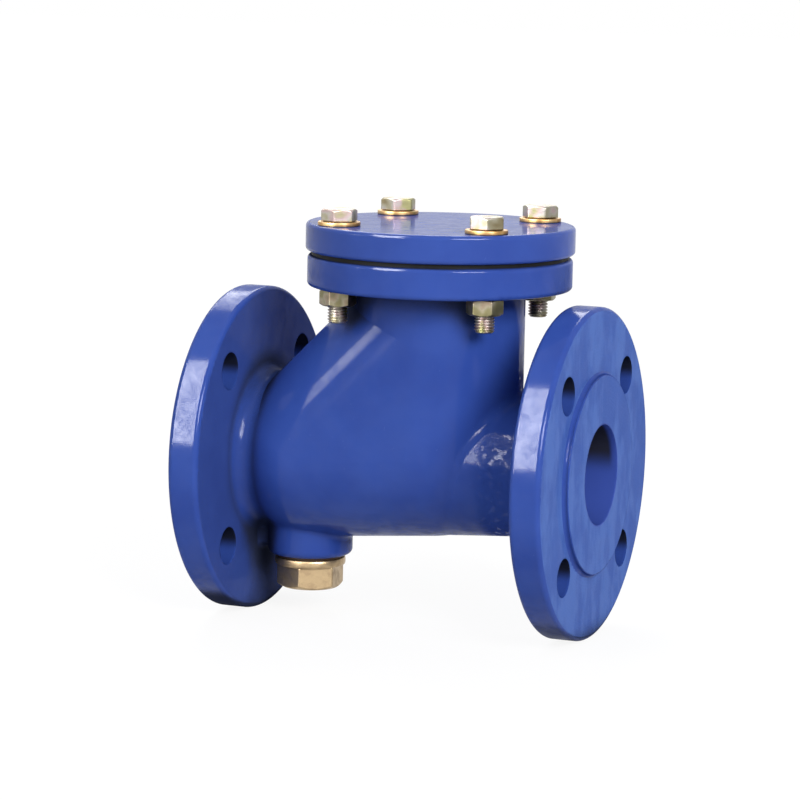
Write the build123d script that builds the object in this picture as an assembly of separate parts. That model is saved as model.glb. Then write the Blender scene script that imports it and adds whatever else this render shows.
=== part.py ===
from build123d import *
import os
from math import cos, radians, sin, sqrt, tan

# Ball non-return valve, DN 50, flanged.
# X runs with the flow from the inlet face (X = 0) to the outlet face, Z runs up to the cover.
# The origin is the centre of the inlet flange's raised face. All sizes are in millimetres.

# Line size and end flanges
FACE_TO_FACE = 200.0
BORE = 50.0
FLANGE_DIAMETER = 165.0
FLANGE_THICKNESS = 19.0
FLANGE_EDGE = 2.5
FLANGE_BOLT_HOLE = 19.0
FLANGE_BOLT_COUNT = 4
FLANGE_BOLT_TO_RIM = 20.0
RAISED_FACE_HEIGHT = 3.0
RAISED_FACE_TO_BOLT_HOLE = 3.5
RAISED_FACE_FILLET_SHARE = 0.7
RAISED_FACE_EDGE_SHARE = 0.2

# Ball, its seat and its sloping track
BALL_DIAMETER = 68.0
BALL_PLAY = 2.0
SEAT_DIAMETER = 47.0
SEAT_X = 24.0
SEAT_LAND = 10.0
SEAT_GAP = 0.3
TRACK_ANGLE = 45.0
TRACK_LENGTH = 90.0

# Cast walls
WALL = 7.0
NECK_WALL = 7.5
NECK_SETBACK = 0.4
NECK_FILLET = 6.0
HUB_FILLET = 7.0
CREASE_FILLET_SHARE = 0.4
BELLY_RISE = 5.0
CHAMBER_NECK_FILLET = 1.5

# Bolted joint at the top of the ball chamber
BODY_FLANGE_TOP = 103.5
BODY_FLANGE_THICKNESS = 15.5
GASKET_THICKNESS = 2.0
GASKET_SETBACK = 2.0
COVER_OVERHANG = 1.0
COVER_THICKNESS = 14.0
COVER_EDGE = 2.0

# Cover fasteners: screws with washers above and nuts below
SCREW_DIAMETER = 10.0
SCREW_LENGTH = 50.0
SCREW_TIP = 1.0
SCREW_HOLE = 11.0
SCREW_TO_CHAMBER = 11.5
SCREW_TO_RIM = 11.5
SCREW_COUNT = 4
HEX_ACROSS_FLATS = 16.0
HEAD_HEIGHT = 6.4
NUT_HEIGHT = 8.0
THREAD_PLAY = 0.05
HEX_TURNED_SHARE = 0.96
HEX_CHAMFER_ANGLE = 30.0
WASHER_DIAMETER = 21.0
WASHER_HOLE = 10.5
WASHER_THICKNESS = 2.0
HEAD_TURNS = [8.0, 24.0, -7.0, 15.0]
NUT_TURNS = [20.0, -4.0, 11.0, 27.0]

# Drain boss and plug under the seat
DRAIN_X = 45.0
BOSS_DIAMETER = 43.0
BOSS_BOTTOM = -52.5
BOSS_EDGE = 3.0
BOSS_FILLET = 3.0
PLUG_THREAD = 26.4
PLUG_THREAD_LENGTH = 14.0
PLUG_COLLAR_DIAMETER = 36.0
PLUG_COLLAR_HEIGHT = 4.0
PLUG_ACROSS_FLATS = 30.0
PLUG_HEX_HEIGHT = 11.7
PLUG_TURN = 4.3
PLUG_SEAL_DIAMETER = 34.0
PLUG_SEAL_THICKNESS = 1.5

# How far drills and cuts run past the faces that they open
CUT_PAST = 1.0

# Worked out from the sizes above
FLANGE_RADIUS = FLANGE_DIAMETER / 2
FLANGE_BOLT_CIRCLE = FLANGE_DIAMETER - 2 * FLANGE_BOLT_TO_RIM
RAISED_FACE_DIAMETER = FLANGE_BOLT_CIRCLE - FLANGE_BOLT_HOLE - 2 * RAISED_FACE_TO_BOLT_HOLE
SEAT_RADIUS = SEAT_DIAMETER / 2
BALL_RADIUS = BALL_DIAMETER / 2
BALL_X = SEAT_X + sqrt((BALL_RADIUS + SEAT_GAP) ** 2 - SEAT_RADIUS**2)
SPACE_RADIUS = BALL_RADIUS + BALL_PLAY
CHAMBER_X = BALL_X + TRACK_LENGTH * cos(radians(TRACK_ANGLE))
DOME_HEIGHT = (CHAMBER_X - BALL_X) * tan(radians(BELLY_RISE))
TRACK_TOP = TRACK_LENGTH * sin(radians(TRACK_ANGLE))
OUTLET_BACK = FACE_TO_FACE - FLANGE_THICKNESS
NECK_START_RADIUS = SPACE_RADIUS + WALL - DOME_HEIGHT - NECK_SETBACK
NECK_END_RADIUS = BORE / 2 + NECK_WALL
NECK_LENGTH = OUTLET_BACK - NECK_FILLET - (CHAMBER_X + SPACE_RADIUS + WALL)
CREASE_FILLET = CREASE_FILLET_SHARE * NECK_LENGTH
SCREW_CIRCLE = 2 * (SPACE_RADIUS + WALL + SCREW_TO_CHAMBER)
BODY_FLANGE_DIAMETER = SCREW_CIRCLE + 2 * SCREW_TO_RIM
GASKET_DIAMETER = BODY_FLANGE_DIAMETER - 2 * GASKET_SETBACK
COVER_DIAMETER = BODY_FLANGE_DIAMETER + 2 * COVER_OVERHANG
COVER_BOTTOM = BODY_FLANGE_TOP + GASKET_THICKNESS
COVER_TOP = COVER_BOTTOM + COVER_THICKNESS
BODY_FLANGE_BOTTOM = BODY_FLANGE_TOP - BODY_FLANGE_THICKNESS


def flow_turned(sketch):
    """A sketch of X and radius, turned about the flow axis."""
    upper_half = Pos(FACE_TO_FACE / 2, FACE_TO_FACE) * Rectangle(4 * FACE_TO_FACE, 2 * FACE_TO_FACE)
    return revolve(Plane.XZ * (sketch & upper_half), Axis.X)


def chamber_turned(sketch):
    """A sketch of radius and height, turned about the chamber's upright axis."""
    return Pos(CHAMBER_X, 0, 0) * revolve(Plane.XZ * sketch, Axis.Z)


def strip(x_from, x_to, radius):
    """A sketch strip about the flow axis, from one X to another, out to a radius."""
    return Pos((x_from + x_to) / 2, 0) * Rectangle(x_to - x_from, 2 * radius)


def corners_at(sketch, x, radius):
    """The corners of a sketch that lie nearest to one X and radius, on both sides of the axis."""
    wanted = [Vector(x, radius), Vector(x, -radius)]
    return [min(sketch.vertices(), key=lambda v, p=place: (Vector(v) - p).length) for place in wanted]


def end_flange(sketch, face_x, inward):
    """Adds an end flange with its raised face to a sketch, and rounds its rim and the raised face's step."""
    shoulder = face_x + inward * RAISED_FACE_HEIGHT
    back = face_x + inward * FLANGE_THICKNESS
    raised = RAISED_FACE_DIAMETER / 2
    sketch += strip(min(face_x, shoulder), max(face_x, shoulder), raised)
    sketch += strip(min(shoulder, back), max(shoulder, back), FLANGE_RADIUS)
    rounded = [
        (shoulder, FLANGE_RADIUS, FLANGE_EDGE),
        (back, FLANGE_RADIUS, FLANGE_EDGE),
        (shoulder, raised, RAISED_FACE_FILLET_SHARE * RAISED_FACE_HEIGHT),
        (face_x, raised, RAISED_FACE_EDGE_SHARE * RAISED_FACE_HEIGHT),
    ]
    for x, corner_radius, size in rounded:
        sketch = fillet(corners_at(sketch, x, corner_radius), size)
    return sketch


def inlet_end():
    """The ball's round bulb with the inlet flange, in one turning."""
    radius = SPACE_RADIUS + WALL
    sketch = end_flange(Pos(BALL_X, 0) * Circle(radius), 0.0, 1)
    hub = sqrt(radius**2 - (BALL_X - FLANGE_THICKNESS) ** 2)
    return flow_turned(fillet(corners_at(sketch, FLANGE_THICKNESS, hub), HUB_FILLET))


def outlet_end():
    """The neck, tapered on from the chamber's bottom line, with the outlet flange, in one turning."""
    start, end = (CHAMBER_X, NECK_START_RADIUS), (OUTLET_BACK, NECK_END_RADIUS)
    below = [(x, -radius) for x, radius in (end, start)]
    sketch = end_flange(make_face(Polyline(start, end, *below, close=True)), FACE_TO_FACE, -1)
    return flow_turned(fillet(corners_at(sketch, OUTLET_BACK, NECK_END_RADIUS), NECK_FILLET))


def run(radius, angle, length):
    """A cylinder from the ball's closed place, rising at an angle to the flow."""
    slope = Plane((BALL_X, 0, 0), x_dir=(0, 1, 0), z_dir=(cos(radians(angle)), 0, sin(radians(angle))))
    return slope * Cylinder(radius, length, align=(Align.CENTER, Align.CENTER, Align.MIN))


def belly(radius):
    """The wide lower barrel from the ball's bulb to the chamber's round bottom."""
    across = CHAMBER_X - BALL_X
    return run(radius, BELLY_RISE, across / cos(radians(BELLY_RISE)))


def cheeks(radius):
    """The flat sides that join track, belly and chamber, a plate over the triangle between their axes."""
    corners = [(BALL_X, 0), (CHAMBER_X, DOME_HEIGHT), (CHAMBER_X, TRACK_TOP)]
    return extrude(Plane.XZ * make_face(Polyline(*corners, close=True)), radius, both=True)


def dome(radius):
    """A sketch of the chamber's round bottom, a quarter circle about the belly's end."""
    return Pos(0, DOME_HEIGHT) * (Circle(radius) & Pos(radius, -radius) * Rectangle(2 * radius, 2 * radius))


def chamber_outside():
    """The upright chamber's wall with its round bottom and the flange for the cover."""
    wall, rim = SPACE_RADIUS + WALL, BODY_FLANGE_DIAMETER / 2
    points = [
        (0, DOME_HEIGHT), (wall, DOME_HEIGHT), (wall, BODY_FLANGE_BOTTOM),
        (rim, BODY_FLANGE_BOTTOM), (rim, BODY_FLANGE_TOP), (0, BODY_FLANGE_TOP),
    ]
    radii = [0, 0, CHAMBER_NECK_FILLET, COVER_EDGE, COVER_EDGE, 0]
    return chamber_turned(make_face(FilletPolyline(*points, radius=radii, close=True)) + dome(wall))


def chamber_inside():
    """The upright chamber's hollow, one wall inside its outside and open at the top."""
    height = BODY_FLANGE_TOP + WALL - DOME_HEIGHT
    upright = Pos(SPACE_RADIUS / 2, DOME_HEIGHT + height / 2) * Rectangle(SPACE_RADIUS, height)
    return chamber_turned(upright + dome(SPACE_RADIUS))


def inlet_hollow():
    """The inlet bore, the narrower seat and the ball's round space behind it."""
    past_seat = Pos(SEAT_X + FACE_TO_FACE, 0) * Rectangle(2 * FACE_TO_FACE, FACE_TO_FACE)
    mouth = SEAT_X - SEAT_LAND
    step = mouth - (BORE / 2 - SEAT_RADIUS)
    cone = [(step, BORE / 2), (mouth, SEAT_RADIUS), (mouth, -SEAT_RADIUS), (step, -BORE / 2)]
    space = Pos(BALL_X, 0) * Circle(SPACE_RADIUS) & past_seat
    sketch = space + strip(mouth, SEAT_X + BALL_PLAY, SEAT_RADIUS)
    return flow_turned(sketch + strip(-CUT_PAST, step, BORE / 2) + make_face(Polyline(*cone, close=True)))


def outlet_hollow():
    """The outlet bore, from the chamber's middle out through the flange."""
    return flow_turned(strip(CHAMBER_X, FACE_TO_FACE + CUT_PAST, BORE / 2))


def around(diameter, count):
    """Places on a circle in the XY plane, the first at half a step from X."""
    return [Rot(0, 0, (i + 0.5) * 360 / count) * Pos(diameter / 2, 0, 0) for i in range(count)]


def upright(radius, bottom, top):
    """An upright cylinder on the Z axis between two heights."""
    return Pos(0, 0, bottom) * Cylinder(radius, top - bottom, align=(Align.CENTER, Align.CENTER, Align.MIN))


def end_flange_holes():
    """The bolt holes of both end flanges, drilled along the flow from just outside each face."""
    drill = upright(FLANGE_BOLT_HOLE / 2, -CUT_PAST, FLANGE_THICKNESS + CUT_PAST)
    inlet = Plane((0, 0, 0), x_dir=(0, 1, 0), z_dir=(1, 0, 0))
    outlet = Plane((OUTLET_BACK, 0, 0), x_dir=(0, 1, 0), z_dir=(1, 0, 0))
    places = around(FLANGE_BOLT_CIRCLE, FLANGE_BOLT_COUNT)
    return [face * place * drill for face in (inlet, outlet) for place in places]


def screw_holes(bottom, top):
    """The cover screws' clearance holes through what lies between two heights."""
    drill = upright(SCREW_HOLE / 2, bottom - CUT_PAST, top + CUT_PAST)
    return [Pos(CHAMBER_X, 0, 0) * place * drill for place in around(SCREW_CIRCLE, SCREW_COUNT)]


def drain_boss():
    """The round boss for the drain plug, with a rounded lower edge."""
    boss = Pos(DRAIN_X, 0, 0) * upright(BOSS_DIAMETER / 2, BOSS_BOTTOM, 0)
    return fillet(boss.edges().group_by(Axis.Z)[0], BOSS_EDGE)


def valve_body():
    """The cast body in one piece: ends, bulb, track, belly, chamber and boss around their hollow."""
    width = SPACE_RADIUS + WALL
    cast = inlet_end() + run(width, TRACK_ANGLE, TRACK_LENGTH)
    cast += chamber_outside()
    cast += belly(width)
    cast += cheeks(width)
    cast += outlet_end()
    narrowing = (NECK_START_RADIUS - NECK_END_RADIUS) / (OUTLET_BACK - CHAMBER_X)
    neck_top = (CHAMBER_X + width, 0, NECK_START_RADIUS - narrowing * width)
    cast = fillet(cast.edges().sort_by_distance(neck_top)[:1], CREASE_FILLET)
    cast += drain_boss()
    boss_top = -sqrt(width**2 - BOSS_DIAMETER**2 / 4)
    cast = fillet(cast.edges().sort_by_distance((DRAIN_X, BOSS_DIAMETER / 2, boss_top))[:1], BOSS_FILLET)
    hollow = inlet_hollow() + run(SPACE_RADIUS, TRACK_ANGLE, TRACK_LENGTH)
    hollow += chamber_inside()
    hollow += belly(SPACE_RADIUS)
    hollow += cheeks(SPACE_RADIUS)
    hollow += outlet_hollow()
    drain = Pos(DRAIN_X, 0, 0) * upright(PLUG_THREAD / 2, BOSS_BOTTOM - CUT_PAST, 0)
    return cast - hollow - drain - end_flange_holes() - screw_holes(BODY_FLANGE_BOTTOM, BODY_FLANGE_TOP)


def cover():
    """The flat round cover with rounded edges."""
    disc = Pos(CHAMBER_X, 0, 0) * upright(COVER_DIAMETER / 2, COVER_BOTTOM, COVER_TOP)
    return fillet(disc.edges(), COVER_EDGE) - screw_holes(COVER_BOTTOM, COVER_TOP)


def cover_gasket():
    """The flat gasket between body flange and cover, out past the screws."""
    ring = upright(GASKET_DIAMETER / 2, BODY_FLANGE_TOP, COVER_BOTTOM)
    ring -= upright(SPACE_RADIUS, BODY_FLANGE_TOP - CUT_PAST, COVER_BOTTOM + CUT_PAST)
    return Pos(CHAMBER_X, 0, 0) * ring - screw_holes(BODY_FLANGE_TOP, COVER_BOTTOM)


def ball():
    """The ball in its closed place, just off the seat."""
    return Pos(BALL_X, 0, 0) * Sphere(BALL_RADIUS)


def hexagon(across_flats, bottom, top, chamfered):
    """A hexagonal block whose corners are turned off at its bottom, its top or both."""
    block = Pos(0, 0, bottom) * extrude(RegularPolygon(across_flats / 2, 6, major_radius=False), top - bottom)
    corner = across_flats / sqrt(3)
    depth = corner - HEX_TURNED_SHARE * across_flats / 2
    blank = upright(corner, bottom, top)
    rims = blank.edges().filter_by(GeomType.CIRCLE).group_by(Axis.Z)
    for rim in [rims[i] for i in chamfered]:
        lower = rim[0].center().Z < (bottom + top) / 2
        side = blank.faces().filter_by(GeomType.PLANE).sort_by(Axis.Z)[0 if lower else -1]
        blank = chamfer(rim, depth, depth * tan(radians(HEX_CHAMFER_ANGLE)), reference=side)
    return block & blank


def cover_screw(turn):
    """A hexagon screw: head on the washer, threaded end past the nut."""
    seat = COVER_TOP + WASHER_THICKNESS
    head = Rot(0, 0, turn) * hexagon(HEX_ACROSS_FLATS, seat, seat + HEAD_HEIGHT, [-1])
    shank = upright(SCREW_DIAMETER / 2, seat - SCREW_LENGTH, seat)
    return head + chamfer(shank.edges().group_by(Axis.Z)[0], SCREW_TIP)


def cover_washer():
    """The flat washer under a screw's head."""
    top = COVER_TOP + WASHER_THICKNESS
    hole = upright(WASHER_HOLE / 2, COVER_TOP - CUT_PAST, top + CUT_PAST)
    return upright(WASHER_DIAMETER / 2, COVER_TOP, top) - hole


def cover_nut(turn):
    """The hexagon nut under the body flange."""
    bottom = BODY_FLANGE_BOTTOM - NUT_HEIGHT
    nut = hexagon(HEX_ACROSS_FLATS, bottom, BODY_FLANGE_BOTTOM, [0, -1])
    hole = upright(SCREW_DIAMETER / 2 + THREAD_PLAY, bottom - CUT_PAST, BODY_FLANGE_BOTTOM + CUT_PAST)
    return Rot(0, 0, turn) * (nut - hole)


def drain_plug():
    """The drain plug: hexagon, round collar and threaded end in one piece."""
    collar_top = BOSS_BOTTOM - PLUG_SEAL_THICKNESS
    collar_bottom = collar_top - PLUG_COLLAR_HEIGHT
    hex_end = hexagon(PLUG_ACROSS_FLATS, collar_bottom - PLUG_HEX_HEIGHT, collar_bottom, [0])
    collar = upright(PLUG_COLLAR_DIAMETER / 2, collar_bottom, collar_top)
    thread = upright(PLUG_THREAD / 2 - THREAD_PLAY, collar_top, collar_top + PLUG_THREAD_LENGTH)
    return Pos(DRAIN_X, 0, 0) * Rot(0, 0, PLUG_TURN) * (hex_end + collar + thread)


def drain_plug_seal():
    """The sealing ring between the boss and the plug's collar."""
    top, bottom = BOSS_BOTTOM, BOSS_BOTTOM - PLUG_SEAL_THICKNESS
    hole = upright(PLUG_THREAD / 2, bottom - CUT_PAST, top + CUT_PAST)
    return Pos(DRAIN_X, 0, 0) * (upright(PLUG_SEAL_DIAMETER / 2, bottom, top) - hole)


def main():
    """Builds every piece where it sits and writes one file for each."""
    pieces = {
        "valve_body": valve_body(),
        "cover": cover(),
        "cover_gasket": cover_gasket(),
        "ball": ball(),
        "drain_plug": drain_plug(),
        "drain_plug_seal": drain_plug_seal(),
    }
    for i, place in enumerate(around(SCREW_CIRCLE, SCREW_COUNT)):
        where = Pos(CHAMBER_X, 0, 0) * place
        pieces["cover_screw_%d" % (i + 1)] = where * cover_screw(HEAD_TURNS[i])
        pieces["cover_washer_%d" % (i + 1)] = where * cover_washer()
        pieces["cover_nut_%d" % (i + 1)] = where * cover_nut(NUT_TURNS[i])
    os.makedirs("parts", exist_ok=True)
    for name, piece in pieces.items():
        export_step(piece, "parts/%s.step" % name)


if __name__ == "__main__":
    main()
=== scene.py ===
"""Flanged ball non-return valve: blue enamelled casting, plated screws, washers and nuts, brass drain plug."""

import bmesh
import bpy
import numpy as np
from mathutils import Matrix, Quaternion, Vector


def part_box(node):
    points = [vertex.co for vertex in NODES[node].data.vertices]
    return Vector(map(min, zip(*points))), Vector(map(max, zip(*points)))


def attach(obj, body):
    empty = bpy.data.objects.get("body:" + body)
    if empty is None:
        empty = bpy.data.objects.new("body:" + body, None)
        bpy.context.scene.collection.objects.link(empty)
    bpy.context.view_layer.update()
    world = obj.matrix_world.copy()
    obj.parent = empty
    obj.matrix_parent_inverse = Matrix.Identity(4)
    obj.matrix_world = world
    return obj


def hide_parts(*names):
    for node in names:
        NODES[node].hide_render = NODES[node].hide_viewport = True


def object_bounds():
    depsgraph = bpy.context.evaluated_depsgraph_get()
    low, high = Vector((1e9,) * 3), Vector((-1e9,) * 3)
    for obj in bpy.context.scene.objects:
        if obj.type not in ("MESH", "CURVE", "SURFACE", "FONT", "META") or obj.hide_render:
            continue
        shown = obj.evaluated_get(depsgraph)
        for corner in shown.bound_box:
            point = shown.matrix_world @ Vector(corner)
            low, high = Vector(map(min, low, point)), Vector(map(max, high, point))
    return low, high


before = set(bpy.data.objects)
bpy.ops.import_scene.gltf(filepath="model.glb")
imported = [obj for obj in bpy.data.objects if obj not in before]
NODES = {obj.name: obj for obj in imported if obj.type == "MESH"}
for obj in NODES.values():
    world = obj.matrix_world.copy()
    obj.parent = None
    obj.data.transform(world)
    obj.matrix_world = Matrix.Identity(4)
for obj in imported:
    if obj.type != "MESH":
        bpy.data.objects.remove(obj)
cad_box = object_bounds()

MM = 0.001

# Sizes of the small turned and forged pieces, in millimetres
HEX_FLATS, HEAD_HEIGHT, NUT_HEIGHT = 16.0, 6.4, 8.0
SHANK_RADIUS, THREAD_PITCH, THREAD_DEPTH = 4.95, 1.5, 0.85
SCREW_LENGTH, PLAIN_SHANK = 50.0, 18.0
PLUG_FLATS, PLUG_COLLAR, PLUG_COLLAR_HEIGHT, PLUG_HEX_HEIGHT = 30.0, 18.0, 4.0, 11.7
PLUG_THREAD, PLUG_PITCH, PLUG_THREAD_DEPTH, PLUG_THREAD_LENGTH = 13.1, 2.3, 1.2, 14.0
HEAD_TURNS = (-9.0, -5.5, 22.0, 7.0)
NUT_TURNS = (20.0, -4.0, 11.0, 27.0)
PLUG_TURN = 4.3
WASHER_RADII, SEAL_RADII = (5.25, 10.5), (13.25, 17.0)
MOULD_LINE = 0.25

# Height of the bearing ring under a screw's head, and a hexagon end's turned flat as a share of its flats
BEARING_RING, TURNED_FLAT = 0.4, 0.475

# How far the end flanges' bolt holes lie from the middle, sideways and upwards
BOLT_OFFSET = 44.19

# Where the body's paint changes over, in metres: from the middle of the length to the flanges' backs, to their bolt
# holes, to their faces and to the bore's mouth; from the middle of a bolt hole or the bore to just past its wall; and
# from the inlet to where the outlet neck starts, with the distance from the flow's axis at which the neck ends
MIDDLE = 0.1
AT_BACK, AT_HOLES, AT_FACE, AT_MOUTH = (0.076, 0.079), (0.078, 0.0785), (0.0955, 0.0965), (0.0955, 0.0985)
HOLE_WALL, BORE_WALL = (0.0096, 0.0099), (0.0254, 0.0257)
NECK_START, NECK_END = (0.142, 0.150), (0.045, 0.055)

# Distance between the rings that the turning left on the end faces, in metres
TURNING_PITCH = 0.0016


# Shapes


def centre_of(node):
    """The middle of a node's box, in metres."""
    low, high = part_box(node)
    return (low + high) / 2


def skin(name, rows, node, finish, loop=False):
    """A mesh over rows of points: each row runs once around, and the last row joins the first when loop is set.

    Point (i, j) is joined to (i, j + 1), (i + 1, j + 1) and (i + 1, j), with j counted around the ring.
    """
    count, around = rows.shape[:2]
    i = np.arange(count if loop else count - 1)[:, None]
    j = np.arange(around)[None, :]
    right, down = (j + 1) % around, (i + 1) % count
    sides = i * around + j, i * around + right, down * around + right, down * around + j
    corners = np.stack(np.broadcast_arrays(*sides), -1)
    mesh = bpy.data.meshes.new(name)
    mesh.from_pydata(rows.reshape(-1, 3), [], corners.reshape(-1, 4))
    work = bmesh.new()
    work.from_mesh(mesh)
    bmesh.ops.remove_doubles(work, verts=work.verts, dist=1e-6)
    bmesh.ops.recalc_face_normals(work, faces=work.faces)
    work.to_mesh(mesh)
    work.free()
    mesh.shade_smooth()
    piece = bpy.data.objects.new(name, mesh)
    bpy.context.scene.collection.objects.link(piece)
    mesh.materials.append(finish)
    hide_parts(node)
    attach(piece, "housing" if node != "ball" else "ball")
    return piece


def turned(angles, radii, heights, centre, turn=0.0):
    """Points at a radius and a height for each angle: x = r cos(a + turn), y = r sin(a + turn), moved to the centre."""
    a = angles + np.radians(turn)
    radii, heights = np.broadcast_arrays(radii, heights)
    return np.stack([radii * np.cos(a), radii * np.sin(a), heights], -1) * MM + np.array(centre)


def hexagon_angles(per_side):
    """Angles around a hexagon, closer together at its corners: each side runs over sin(t) of its half angle."""
    t = np.sin(np.linspace(-np.pi / 2, np.pi / 2, per_side, endpoint=False))
    return (np.radians(60) * np.arange(6)[:, None] + np.radians(30) * t).ravel()


def hexagon_radius(angles, flats):
    """Half the flats over the cosine to the nearest flat, eased at the corners by adding the sides' 70th powers."""
    sides = np.cos(angles[:, None] - np.radians(60) * np.arange(6)[None, :]).clip(1e-3)
    return flats / 2 / (sides**70).sum(1) ** (1 / 70)


def softer_of(a, b, power=90.0):
    """The smaller of two radii, rounded where they meet by adding their powers of minus 90."""
    return (a**-power + b**-power) ** (-1 / power)


def turned_corners(angles, flats, distance):
    """The radius at a distance from a hexagon's end: its side, or the 30 degree cone that the corners are turned to."""
    cone = TURNED_FLAT * flats + distance[:, None] / np.tan(np.radians(30))
    return softer_of(hexagon_radius(angles, flats)[None, :], cone)


def thread(angles, heights, radius, pitch, depth):
    """The radius falls by the depth in a rounded wave once each pitch, and the wave climbs one pitch per turn."""
    phase = (heights[:, None] / pitch - angles[None, :] / (2 * np.pi)) % 1.0
    wave = 0.5 - 0.5 * np.cos(2 * np.pi * phase)
    return radius - depth * wave**1.3


def head_end(angles, flats, height):
    """Rows over a forged hexagon end, from its middle out to the turned corners and down to height 0."""
    edge = TURNED_FLAT * flats
    flat = edge * np.array([0.0, 0.25, 0.5, 0.75, 0.9, 0.965, 0.99])
    down = height * np.linspace(0.0, 1.0, 26) ** 1.8
    radii = np.concatenate([np.repeat(flat[:, None], len(angles), 1), turned_corners(angles, flats, down + 0.02)])
    dip = 0.12 * (flat / edge) ** 6
    heights = np.concatenate([height - dip, height - 0.12 - down * (height - 0.12) / height])
    return radii, np.repeat(heights[:, None], len(angles), 1)


def screw(number, finish):
    """Hexagon head with a bearing ring, a plain shank, and a thread that ends in a turned tip."""
    node = "cover_screw_%d" % number
    low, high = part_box(node)
    seat = high.z / MM - HEAD_HEIGHT
    angles = hexagon_angles(18)
    radii, heights = head_end(angles, HEX_FLATS, HEAD_HEIGHT - BEARING_RING)
    along = np.linspace(0.0, SCREW_LENGTH, 420)
    body = thread(angles, -along, SHANK_RADIUS, THREAD_PITCH, THREAD_DEPTH)
    body = np.where(along[:, None] < PLAIN_SHANK, SHANK_RADIUS, body)
    body = np.minimum(body, SHANK_RADIUS - 1.0 + (SCREW_LENGTH - along)[:, None])
    ring = np.array([[HEX_FLATS * TURNED_FLAT], [HEX_FLATS * TURNED_FLAT], [SHANK_RADIUS + 0.1]])
    radii = np.concatenate([radii, np.repeat(ring, len(angles), 1), body, np.zeros((1, len(angles)))])
    levels = np.concatenate([[BEARING_RING, 0.02, 0.02], -along, [-SCREW_LENGTH]])
    heights = np.concatenate([heights + BEARING_RING, np.repeat(levels[:, None], len(angles), 1)]) + seat
    middle = centre_of(node)
    turn = 45 + 90 * (number - 1) + HEAD_TURNS[number - 1]
    return skin("screw_%d" % number, turned(angles, radii, heights, (middle.x, middle.y, 0), turn), node, finish)


def nut(number, finish):
    """Hexagon nut turned at both ends, with a countersunk threaded hole; the rows join into a closed ring."""
    node = "cover_nut_%d" % number
    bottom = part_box(node)[0].z / MM
    angles = hexagon_angles(18)
    end = np.linspace(0.0, 1.4, 12)
    outer = np.concatenate([end, np.linspace(1.8, NUT_HEIGHT - 1.8, 5), NUT_HEIGHT - end[::-1]])
    sides = turned_corners(angles, HEX_FLATS, np.minimum(outer, NUT_HEIGHT - outer))
    inner = np.linspace(NUT_HEIGHT, 0.0, 60)
    hole = thread(angles, inner, SHANK_RADIUS + THREAD_DEPTH + 0.12, THREAD_PITCH, THREAD_DEPTH)
    sink = SHANK_RADIUS + 0.7 - np.minimum(inner, NUT_HEIGHT - inner)
    hole = np.maximum(np.maximum(hole, SHANK_RADIUS + 0.08), sink[:, None])
    radii = np.concatenate([sides, hole])
    heights = np.concatenate([outer, inner])[:, None] + bottom
    middle = centre_of(node)
    turn = 45 + 90 * (number - 1) + NUT_TURNS[number - 1]
    rows = turned(angles, radii, heights, (middle.x, middle.y, 0), turn)
    return skin("nut_%d" % number, rows, node, finish, loop=True)


def ring_of(name, node, inner, outer, bulge, finish):
    """A flat ring with an eased rectangle as its cross-section: a superellipse of power 2 / bulge."""
    low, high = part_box(node)
    middle = (low + high) / 2
    angles = np.linspace(0, 2 * np.pi, 128, endpoint=False)
    t = np.linspace(0, 2 * np.pi, 40, endpoint=False)
    across = np.sign(np.cos(t)) * np.abs(np.cos(t)) ** bulge
    upward = np.sign(np.sin(t)) * np.abs(np.sin(t)) ** bulge
    radii = (inner + outer) / 2 + (outer - inner) / 2 * across[:, None] + np.zeros((1, len(angles)))
    heights = middle.z / MM + (high.z - low.z) / MM / 2 * upward[:, None]
    return skin(name, turned(angles, radii, heights, (middle.x, middle.y, 0)), node, finish, loop=True)


def plug(finish):
    """Drain plug: milled hexagon below a round collar with an eased rim, and the thread inside the boss."""
    low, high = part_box("drain_plug")
    angles = hexagon_angles(24)
    radii, heights = head_end(angles, PLUG_FLATS, PLUG_HEX_HEIGHT)
    collar_top = high.z / MM - PLUG_THREAD_LENGTH
    t = np.linspace(-np.pi / 2, np.pi / 2, 17)
    rim = PLUG_COLLAR - 1.0 + np.abs(np.cos(t)) ** 0.7
    rim_height = collar_top + PLUG_COLLAR_HEIGHT / 2 * (np.sign(np.sin(t)) * np.abs(np.sin(t)) ** 0.7 - 1)
    along = np.linspace(0.0, PLUG_THREAD_LENGTH, 90)
    tip = PLUG_THREAD - PLUG_THREAD_DEPTH + (PLUG_THREAD_LENGTH - along)[:, None]
    body = np.minimum(thread(angles, along, PLUG_THREAD, PLUG_PITCH, PLUG_THREAD_DEPTH), tip)
    wide = np.ones((1, len(angles)))
    radii = np.concatenate([radii, rim[:, None] * wide, body, 0 * wide])
    levels = np.concatenate([rim_height, collar_top + along, [collar_top + PLUG_THREAD_LENGTH]])
    hex_heights = collar_top - PLUG_COLLAR_HEIGHT - heights
    heights = np.concatenate([hex_heights, levels[:, None] * wide])
    middle = centre_of("drain_plug")
    return skin("plug", turned(angles, radii, heights, (middle.x, middle.y, 0), PLUG_TURN), "drain_plug", finish)


def moulded_ball(finish):
    """The rubber ball: a sphere with a low moulding line around its leaning equator."""
    low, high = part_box("ball")
    middle, radius = (low + high) / 2, (high.x - low.x) / 2 / MM
    tilt = np.linspace(-np.pi / 2, np.pi / 2, 121)
    angles = np.linspace(0, 2 * np.pi, 160, endpoint=False)
    r = radius - MOULD_LINE + MOULD_LINE * np.exp(-((tilt / 0.02) ** 2))
    rows = turned(angles, (r * np.cos(tilt))[:, None] + 0 * angles, (r * np.sin(tilt))[:, None], (0, 0, 0))
    lean = np.array(Matrix.Rotation(0.6, 3, "X") @ Matrix.Rotation(0.5, 3, "Y"))
    return skin("moulded_ball", rows @ lean.T + np.array(middle), "ball", finish)


# Finishes


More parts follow.
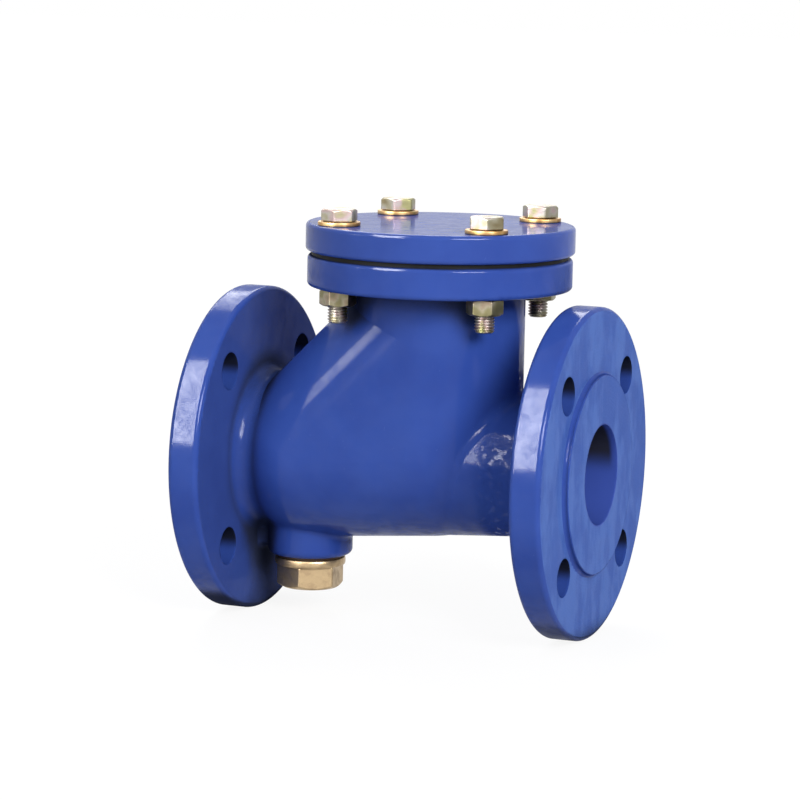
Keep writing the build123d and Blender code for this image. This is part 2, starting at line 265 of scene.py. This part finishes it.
class Wire:
    """One socket of a finish. Sums, products and the like of wires and numbers add the Math nodes for them."""

    def __init__(self, finish, socket):
        self.finish, self.socket = finish, socket

    def maths(self, operation, first, second=0.0):
        return self.finish.node("Math", {"operation": operation}, {0: first, 1: second})

    def __add__(self, other):
        return self.maths("ADD", self, other)

    def __sub__(self, other):
        return self.maths("SUBTRACT", self, other)

    def __mul__(self, other):
        return self.maths("MULTIPLY", self, other)

    def __pow__(self, other):
        return self.maths("POWER", self, other)

    def __abs__(self):
        return self.maths("ABSOLUTE", self)

    def sine(self):
        return self.maths("SINE", self)

    def also(self, output):
        """Another output of the same node."""
        return Wire(self.finish, self.socket.node.outputs[output])

    def __rsub__(self, other):
        return self.maths("SUBTRACT", other, self)

    def __truediv__(self, other):
        return self.maths("DIVIDE", self, other)

    __radd__, __rmul__ = __add__, __mul__


class Finish:
    """A material under construction: its shader, and one method that adds any other node."""

    def __init__(self, name, **fixed):
        self.material = bpy.data.materials.new(name)
        self.material.use_nodes = True
        self.tree = self.material.node_tree
        self.shader = self.tree.nodes["Principled BSDF"]
        for socket, value in fixed.items():
            self.shader.inputs[socket.replace("_", " ")].default_value = value
        self.place = self.node("TexCoord", {}, {}, "Object")
        self.x = self.node("SeparateXYZ", {}, {0: self.place})
        self.y, self.z = self.x.also(1), self.x.also(2)

    def node(self, kind, settings, sockets, output=0):
        """Adds a node, makes its settings, fills its sockets with values or wires, and returns one output."""
        made = self.tree.nodes.new("ShaderNode" + kind)
        for key, value in settings.items():
            if key == "stops":
                while len(made.color_ramp.elements) < len(value):
                    made.color_ramp.elements.new(0.5)
                for stop, (position, colour) in zip(made.color_ramp.elements, value):
                    stop.position, stop.color = position, (*colour, 1.0)
            else:
                setattr(made, key, value)
        for key, value in sockets.items():
            self.feed(made.inputs[key], value)
        return Wire(self, made.outputs[output])

    def feed(self, socket, value):
        """Links a wire to a socket, or sets the socket to a value."""
        if isinstance(value, Wire):
            self.tree.links.new(value.socket, socket)
        else:
            socket.default_value = value

    def noise(self, size, detail=3.0, roughness=0.55, stretch=(1.0, 1.0, 1.0)):
        """A soft noise whose lumps are about size millimetres, from 0 to 1."""
        where = self.node("Mapping", {}, {"Vector": self.place, "Scale": stretch})
        sockets = {"Vector": where, "Scale": 1 / (size * MM), "Detail": detail, "Roughness": roughness}
        return self.node("TexNoise", {}, sockets)

    def mix(self, share, first, second):
        """Blends two colours by a share from 0 to 1."""
        return self.node("Mix", {"data_type": "RGBA"}, {0: share, 6: first, 7: second}, 2)

    def ramp(self, value, low, high):
        """0 below low, 1 above high and smooth between."""
        sockets = {"Value": value, "From Min": low, "From Max": high}
        return self.node("MapRange", {"interpolation_type": "SMOOTHSTEP"}, sockets)

    def relief(self, height, millimetres, under=None):
        """Turns a height of 0 to 1 into a bump that many millimetres deep."""
        sockets = {"Height": height, "Strength": 1.0, "Distance": millimetres * MM}
        if under is not None:
            sockets["Normal"] = under
        return self.node("Bump", {}, sockets)

    def finish(self, **varied):
        """Feeds what varies over the surface into the shader, and returns the material."""
        for socket, wire in varied.items():
            self.feed(self.shader.inputs[socket.replace("_", " ")], wire)
        return self.material


def enamel(name, eased, uneven):
    """Gloss enamel on a casting: waves and fine peel, slightly uneven colour, and a gloss that is patchy by uneven.

    Eased is how many millimetres of an edge the shading rounds. It returns the finish under construction, with the
    gloss, colour and normal for body_paint and cover_paint to go on from.
    """
    f = Finish(name, Coat_Roughness=0.13, Coat_IOR=1.33, Specular_IOR_Level=0.0)
    tone = f.ramp(f.noise(38.0, 3.0), 0.3, 0.7)
    colour = f.mix(tone, (0.026, 0.060, 0.285, 1), (0.033, 0.074, 0.325, 1))
    speck = f.ramp(f.noise(2.2, 2.0), 0.7, 0.8)
    colour = f.mix(speck * 0.1, colour, (0.16, 0.25, 0.62, 1))
    waves = f.noise(14.0, 2.0) * 0.75 + f.noise(5.0, 2.0) * 0.17 + f.noise(2.4, 2.0) * 0.08
    soft = f.node("Bevel", {"samples": 6}, {"Radius": eased * MM})
    normal = f.relief(f.noise(1.1, 2.0), 0.012, f.relief(waves, 0.3, soft))
    patchy = f.ramp(f.noise(9.0, 3.0, 0.6), 0.35, 0.65) * 0.6 + f.ramp(f.noise(2.6, 3.0, 0.7), 0.4, 0.6) * 0.4
    gloss = 0.46 - uneven + patchy * (uneven * 2)
    return f, gloss, colour, normal


def body_paint():
    """The body's enamel, thin and grainy over the turned end faces, where the turning's rings still show.

    The flanges' backs are dull and darker and greyer, partly dust in specks and partly painted shade. Painted shade
    darkens the upper part of the bolt holes and the bore, and painted light brightens the bore's lower wall and mouth.
    Recesses are dull and darkened by painted shade, and on the outlet neck the gloss breaks into glints.
    """
    f, gloss, colour, normal = enamel("body_enamel", 1.6, 0.17)
    facing = f.node("SeparateXYZ", {}, {0: f.node("TexCoord", {}, {}, "Normal")})
    from_middle = abs(f.x - MIDDLE)
    flat = f.ramp(abs(facing), 0.9, 0.98) * f.ramp(from_middle, *AT_BACK)
    face = flat * f.ramp(from_middle, *AT_FACE)
    back = flat - face
    across, along = abs(f.y) - BOLT_OFFSET * MM, abs(f.z) - BOLT_OFFSET * MM
    from_hole = (across * across + along * along) ** 0.5
    drilled = (1 - f.ramp(from_hole, *HOLE_WALL)) * f.ramp(from_middle, *AT_HOLES)
    behind_mouth = 1 - f.ramp(from_middle, *AT_MOUTH)
    # Upper parts of the bolt holes and of the bore behind its mouth: where painted shade goes
    above = f.node("Math", {"operation": "SIGN"}, {0: f.z})
    painted_shade_hole_top = f.ramp(f.z - above * (BOLT_OFFSET * MM), -0.004, 0.003)
    painted_shade_bore_top = f.ramp(f.z, -0.004, 0.009) * behind_mouth
    # Ambient occlusion within 2 cm: where it finds a recess, painted shade goes on the colour
    open_to_light = f.node("AmbientOcclusion", {"samples": 8}, {"Distance": 0.02}, "AO")
    out = (f.y * f.y + f.z * f.z) ** 0.5
    bore = 1 - f.ramp(out, *BORE_WALL)
    neck = f.ramp(f.x, *NECK_START) * (1 - flat)
    painted_recess_shade = (1 - f.ramp(open_to_light, 0.5, 0.78)) * (1 - bore) * (1 - drilled) * (1 - neck * 0.4)
    glints = f.ramp(f.noise(3.4, 2.0), 0.56, 0.64)
    gloss = gloss * (1 - neck * (0.9 - glints * 0.9) * (1 - f.ramp(out, *NECK_END)))
    rings = (out * (2 * np.pi / TURNING_PITCH)).sine()
    grain = f.noise(0.9, 2.0, 0.7)
    patches = f.ramp(f.noise(16.0, 3.0, 0.6, (1.0, 1.0, 0.45)), 0.4, 0.62)
    colour = f.mix(face * (0.25 + grain * 0.5 + patches * 0.5), colour, (0.075, 0.148, 0.44, 1))
    dust = f.ramp(f.noise(1.3, 3.0, 0.7), 0.62, 0.7)
    # The flanges' backs: darker and greyer, partly dust in specks and partly painted shade
    colour = f.mix(back * (0.25 + dust * 0.3), colour, (0.045, 0.055, 0.10, 1))
    # Bolt holes: a little darker throughout, and painted shade over their upper part
    colour = f.mix(drilled * (1 - flat) * (0.1 + painted_shade_hole_top * 0.85), colour, (0.010, 0.011, 0.014, 1))
    # The bore: painted light on its lower wall and mouth, and painted shade on its upper wall
    colour = f.mix(bore * (1 - painted_shade_bore_top) * 0.6, colour, (0.050, 0.085, 0.38, 1))
    colour = f.mix(bore * painted_shade_bore_top * 0.96, colour, (0.022, 0.022, 0.030, 1))
    # Recesses: painted shade, darkening the enamel towards near black
    colour = f.mix(painted_recess_shade * 0.85, colour, (0.020, 0.022, 0.026, 1))
    normal = f.relief(flat * grain + face * rings * 0.12, 0.10, normal)
    roughness = 0.2 + f.noise(6.0) * 0.14 + flat * 0.3
    gloss = gloss * (1 - flat * 0.7) * (1 - drilled) * (1 - painted_recess_shade * 0.95) * (1 - bore * behind_mouth)
    return f.finish(Base_Color=colour, Roughness=roughness, Coat_Weight=gloss, Normal=normal)


def cover_paint():
    """The cover's enamel: the same coat, glossier and more even, on a turned plate."""
    f, gloss, colour, normal = enamel("cover_enamel", 1.0, 0.08)
    return f.finish(Base_Color=colour, Roughness=0.2 + f.noise(6.0) * 0.14, Coat_Weight=gloss + 0.14, Normal=normal)


# Colours of the plating, each with its place from 0 to 1 in a soft noise
HEAD_HUES = ((0.34, (0.17, 0.14, 0.08)), (0.44, (0.26, 0.24, 0.17)), (0.50, (0.31, 0.29, 0.26)),
             (0.56, (0.33, 0.25, 0.25)), (0.66, (0.22, 0.21, 0.10)))
# The nuts' colours are the heads' plating made darker: painted shade for their place under the body's flange
SHADED_NUT_HUES = ((0.34, (0.13, 0.12, 0.06)), (0.44, (0.19, 0.17, 0.09)), (0.50, (0.28, 0.25, 0.18)),
            (0.56, (0.26, 0.20, 0.14)), (0.66, (0.14, 0.14, 0.07)))
WASHER_HUES = ((0.34, (0.25, 0.13, 0.04)), (0.44, (0.38, 0.22, 0.08)), (0.50, (0.46, 0.32, 0.15)),
               (0.56, (0.42, 0.24, 0.10)), (0.66, (0.28, 0.20, 0.07)))


def plated(name, hues, dulled):
    """Yellow passivated zinc: gold that drifts to green and rose in patches, over a fine forged grain."""
    f = Finish(name, Metallic=1.0)
    hue = f.node("ValToRGB", {"stops": hues}, {"Fac": f.noise(11.0, 2.0, 0.5)})
    dull = f.ramp(f.noise(2.5, 3.0), 0.5, 0.75)
    colour = f.mix(dull * dulled, hue, (0.13, 0.12, 0.08, 1))
    normal = f.relief(f.noise(0.9, 2.0), 0.008)
    return f.finish(Base_Color=colour, Roughness=0.36 + dull * 0.12, Normal=normal)


def brass(name):
    """Drawn brass with a tarnish that gathers in patches, and fine marks of the turning."""
    f = Finish(name, Metallic=1.0)
    patches = f.ramp(f.noise(7.0, 4.0, 0.6), 0.42, 0.72)
    grain = f.noise(0.9, 3.0)
    colour = f.mix(patches, (0.42, 0.31, 0.18, 1), (0.24, 0.17, 0.10, 1))
    normal = f.relief(f.noise(0.5, 2.0, 0.5, (1.0, 1.0, 5.0)), 0.03)
    return f.finish(Base_Color=colour, Roughness=0.32 + patches * 0.14 + grain * 0.08, Normal=normal)


def rubber(name, dark, pale, grain, sheen=0.35):
    """Matt moulded rubber with a dusty bloom and a fine grain."""
    f = Finish(name, Specular_IOR_Level=sheen)
    bloom = f.ramp(f.noise(9.0, 4.0), 0.4, 0.75)
    colour = f.mix(bloom * 0.6, dark, pale)
    normal = f.relief(f.noise(grain, 3.0), 0.05)
    return f.finish(Base_Color=colour, Roughness=0.5 + bloom * 0.25, Normal=normal)


# The valve

enamelled = body_paint()
cover_enamelled = cover_paint()
head_zinc = plated("head_zinc", HEAD_HUES, 0.3)
# Darker and duller than the heads: painted shade
nut_zinc = plated("nut_zinc", SHADED_NUT_HUES, 0.5)
washer_zinc = plated("washer_zinc", WASHER_HUES, 0.3)
plug_brass = brass("plug_brass")
gasket_rubber = rubber("gasket_rubber", (0.006, 0.006, 0.007, 1), (0.02, 0.02, 0.021, 1), 0.8, 0.08)
ball_rubber = rubber("ball_rubber", (0.010, 0.010, 0.011, 1), (0.05, 0.05, 0.052, 1), 0.5)
seal_rubber = rubber("seal_rubber", (0.05, 0.022, 0.012, 1), (0.11, 0.06, 0.035, 1), 0.6)

for number in (1, 2, 3, 4):
    screw(number, head_zinc)
    nut(number, nut_zinc)
    ring_of("washer_%d" % number, "cover_washer_%d" % number, *WASHER_RADII, 0.25, washer_zinc)
plug(plug_brass)
ring_of("plug_seal", "drain_plug_seal", *SEAL_RADII, 0.5, seal_rubber)
moulded_ball(ball_rubber)

for node, finish in {"valve_body": enamelled, "cover": cover_enamelled, "cover_gasket": gasket_rubber}.items():
    materials = NODES[node].data.materials
    materials.clear()
    materials.append(finish)


# Floor, light and camera


def soft_box(name, azimuth, elevation, distance, width, height, lean, brightness, gleam=0.0):
    """A flat lamp that faces the valve from a direction, leaning over by an angle, with a face that bright.

    Gleam is the brightness that only gloss sees, on a second face close behind the first.
    """
    a, e = np.radians(azimuth), np.radians(elevation)
    out = Vector((np.cos(a) * np.cos(e), np.sin(a) * np.cos(e), np.sin(e)))
    for part, level, behind in (("light", brightness, 0.0), ("gleam", gleam, 0.03)):
        if level == 0:
            continue
        lamp = bpy.data.lights.new(name + "_" + part, "AREA")
        lamp.shape, lamp.size, lamp.size_y = "RECTANGLE", width, height
        lamp.energy = level * np.pi * width * height
        lamp_object = bpy.data.objects.new(name + "_" + part, lamp)
        lamp_object.location = Vector((0.1, 0, 0.02)) + out * (distance + behind)
        turned_over = Quaternion(out, np.radians(lean)) @ out.to_track_quat("Z", "Y")
        lamp_object.rotation_euler = turned_over.to_euler()
        lamp_object.visible_diffuse = part == "light"
        bpy.context.scene.collection.objects.link(lamp_object)


def seen_directly(tree):
    """1 for what the camera, a mirror or glass sees, 0 for the light that the surroundings give."""
    path = tree.nodes.new("ShaderNodeLightPath")
    total = path.outputs["Is Camera Ray"]
    for other in ("Is Glossy Ray", "Is Transmission Ray"):
        larger = tree.nodes.new("ShaderNodeMath")
        larger.operation = "MAXIMUM"
        tree.links.new(total, larger.inputs[0])
        tree.links.new(path.outputs[other], larger.inputs[1])
        total = larger.outputs[0]
    return total


def pale_floor(height):
    """A wide plain floor under the flanges, grey to the light and lifted to white for the camera, with the shadow.

    The lift is the share 0.88 near the valve and rises to 1 at 1.2 m away, so that floor and background meet unseen.
    """
    mesh = bpy.data.meshes.new("floor")
    x, y = np.meshgrid(np.linspace(-9, 9, 13), np.linspace(-9, 9, 13), indexing="xy")
    points = np.stack([x.ravel(), y.ravel(), np.full(x.size, height)], -1)
    i = (np.arange(12)[:, None] * 13 + np.arange(12)[None, :]).ravel()
    mesh.from_pydata(points, [], np.stack([i, i + 1, i + 14, i + 13], -1))
    floor = bpy.data.objects.new("floor", mesh)
    bpy.context.scene.collection.objects.link(floor)
    f = Finish("pale_floor")
    away = (f.x * f.x + f.y * f.y) ** 0.5
    plain = f.node("BsdfDiffuse", {}, {"Color": (0.5, 0.5, 0.51, 1)})
    pale = f.node("BsdfDiffuse", {}, {"Color": (0.9, 0.9, 0.9, 1)})
    glow = f.node("Emission", {}, {"Strength": 1.02})
    lifted = f.node("MixShader", {}, {0: 0.88 + f.ramp(away, 0.3, 1.2) * 0.12, 1: pale, 2: glow})
    seen = f.node("MixShader", {}, {0: Wire(f, seen_directly(f.tree)), 1: plain, 2: lifted})
    f.tree.links.new(seen.socket, f.tree.nodes["Material Output"].inputs["Surface"])
    mesh.materials.append(f.material)


def white_surroundings(light):
    """A world that is white where it is seen, and gives a plain even light."""
    world = bpy.data.worlds.new("surroundings")
    bpy.context.scene.world = world
    world.use_nodes = True
    tree = world.node_tree
    tree.nodes.clear()
    kinds = "Background", "Background", "MixShader", "OutputWorld"
    seen, given, both, out = (tree.nodes.new("ShaderNode" + kind) for kind in kinds)
    given.inputs["Color"].default_value = (light, light, light * 1.03, 1)
    tree.links.new(seen_directly(tree), both.inputs[0])
    tree.links.new(given.outputs[0], both.inputs[1])
    tree.links.new(seen.outputs[0], both.inputs[2])
    tree.links.new(both.outputs[0], out.inputs["Surface"])
    seen.inputs["Color"].default_value = (1, 1, 1, 1)


def camera_as_photographed():
    """The camera of the photograph: its place, and its right, up and backward directions from yaw, pitch and roll."""
    yaw, pitch, roll = -0.380772, -0.143107, 0.019886
    forward = Vector((np.sin(yaw) * np.cos(pitch), np.cos(yaw) * np.cos(pitch), np.sin(pitch)))
    level = Vector((np.cos(yaw), -np.sin(yaw), 0))
    upward = level.cross(forward)
    right = level * np.cos(roll) + upward * np.sin(roll)
    up = upward * np.cos(roll) - level * np.sin(roll)
    lens = bpy.data.cameras.new("camera")
    lens.sensor_width, lens.lens = 36.0, 148.377
    camera = bpy.data.objects.new("camera", lens)
    camera.matrix_world = Matrix((right, up, -forward)).transposed().to_4x4()
    camera.location = (0.702047, -1.522406, 0.265786)
    bpy.context.scene.collection.objects.link(camera)
    bpy.context.scene.camera = camera


camera_as_photographed()
pale_floor(cad_box[0].z)
white_surroundings(0.42)
soft_box("left_soft_box", -119, 33.7, 4.0, 1.7, 4.1, 17, 2.0, 38.0)
soft_box("track_soft_box", -146, 16.7, 4.6, 0.5, 1.0, 52, 0.3, 15.0)
soft_box("right_soft_box", -42, 26, 2.5, 1.2, 0.9, 0, 16.5, 18.0)
soft_box("back_soft_box", 118, 40, 2.5, 1.4, 1.2, 0, 7.0)
bpy.context.scene.view_settings.view_transform = "Standard"
